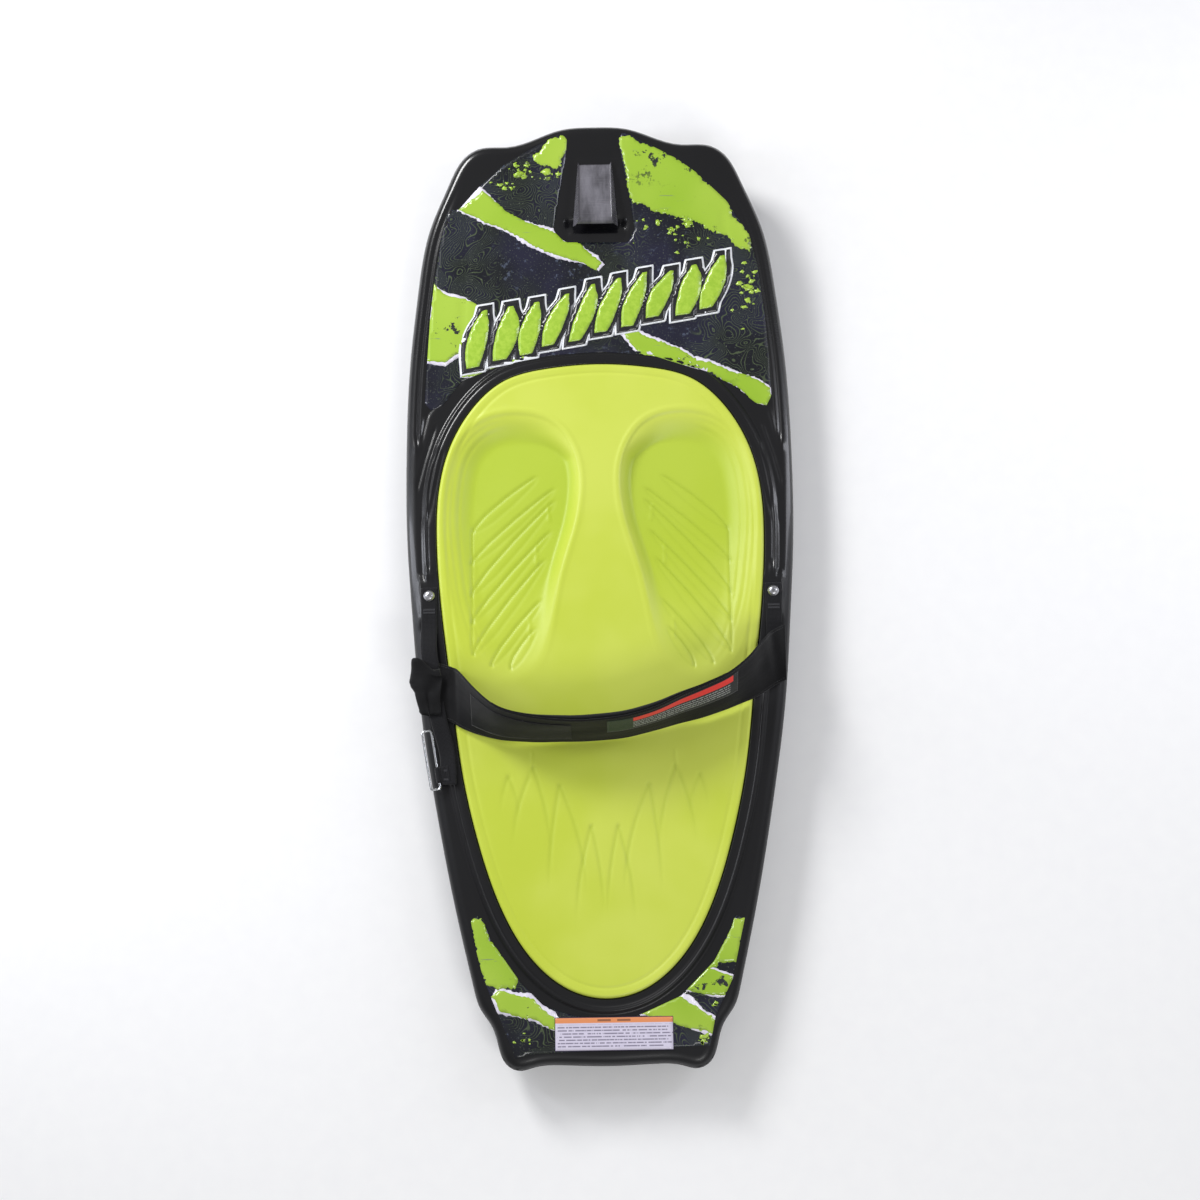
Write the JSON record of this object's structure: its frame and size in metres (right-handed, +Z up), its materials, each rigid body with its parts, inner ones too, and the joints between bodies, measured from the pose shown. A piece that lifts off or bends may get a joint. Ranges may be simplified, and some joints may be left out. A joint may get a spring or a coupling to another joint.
{
  "type": "kneeboard",
  "caption": "Towed kneeboard: foam-filled moulded hull with knee pad, tow hook and padded knee strap with flap and wire ring.",
  "frame": {"origin": "middle of the footprint, on the surface that the base rests on", "axes": "+X to the board's right seen from above with the nose ahead, +Y to the nose, +Z up off the deck"},
  "size_m": [0.5336, 1.3018, 0.1544],
  "materials": {
    "hull_plastic": "satin black moulded polyethylene",
    "foam": "cream rigid foam",
    "pad_foam": "lime moulded EVA foam",
    "printed_film": "semi-gloss printed film, dark with lime torn stripes",
    "label_film": "semi-gloss printed label",
    "brass": "turned brass",
    "stainless": "stainless steel",
    "chrome_wire": "bright plated wire",
    "webbing": "black woven nylon webbing",
    "strap_fabric": "black strap webbing and laminate",
    "padding": "black neoprene-faced foam",
    "hook_loop": "black hook and loop tape",
    "thread": "black sewing thread",
    "woven_label": "woven label with a red stripe"
  },
  "bodies": {
    "board": {"hull_shell": "hull_plastic", "foam_core": "foam", "foam_fill_plug": "hull_plastic", "knee_pad": "pad_foam", "nose_graphic": "printed_film", "tail_graphic": "printed_film", "warning_label": "label_film", "threaded_insert_left": "brass", "threaded_insert_right": "brass", "strap_screw_left": "stainless", "strap_screw_right": "stainless", "cup_washer_left": "stainless", "cup_washer_right": "stainless", "anchor_webbing_left": "webbing", "anchor_webbing_right": "webbing", "anchor_bartacks": "thread"},
    "strap": {"side_webbing_left": "webbing", "side_webbing_right": "webbing", "strap_band": "strap_fabric", "strap_padding": "padding", "strap_label": "woven_label", "loop_tape": "hook_loop", "webbing_bartacks": "thread"},
    "flap": {"flap_band": "strap_fabric", "hook_tape": "hook_loop"},
    "ring": {"wire_ring": "chrome_wire"}
  },
  "joints": [
    {"name": "strap_swing", "type": "hinge", "parent": "board", "child": "strap", "pos_m": [0, -0.045, 0.0725], "axis": [-1, 0, 0], "range_deg": [0, 120]},
    {"name": "flap_open", "type": "hinge", "parent": "strap", "child": "flap", "pos_m": [-0.25141, -0.141, 0.07725], "axis": [0, -1, 0], "range_deg": [0, 150]},
    {"name": "ring_flip", "type": "hinge", "parent": "strap", "child": "ring", "pos_m": [-0.22214, -0.26, 0.0753], "axis": [-0.1564, 0.9877, 0], "range_deg": [0, 95]}
  ]
}
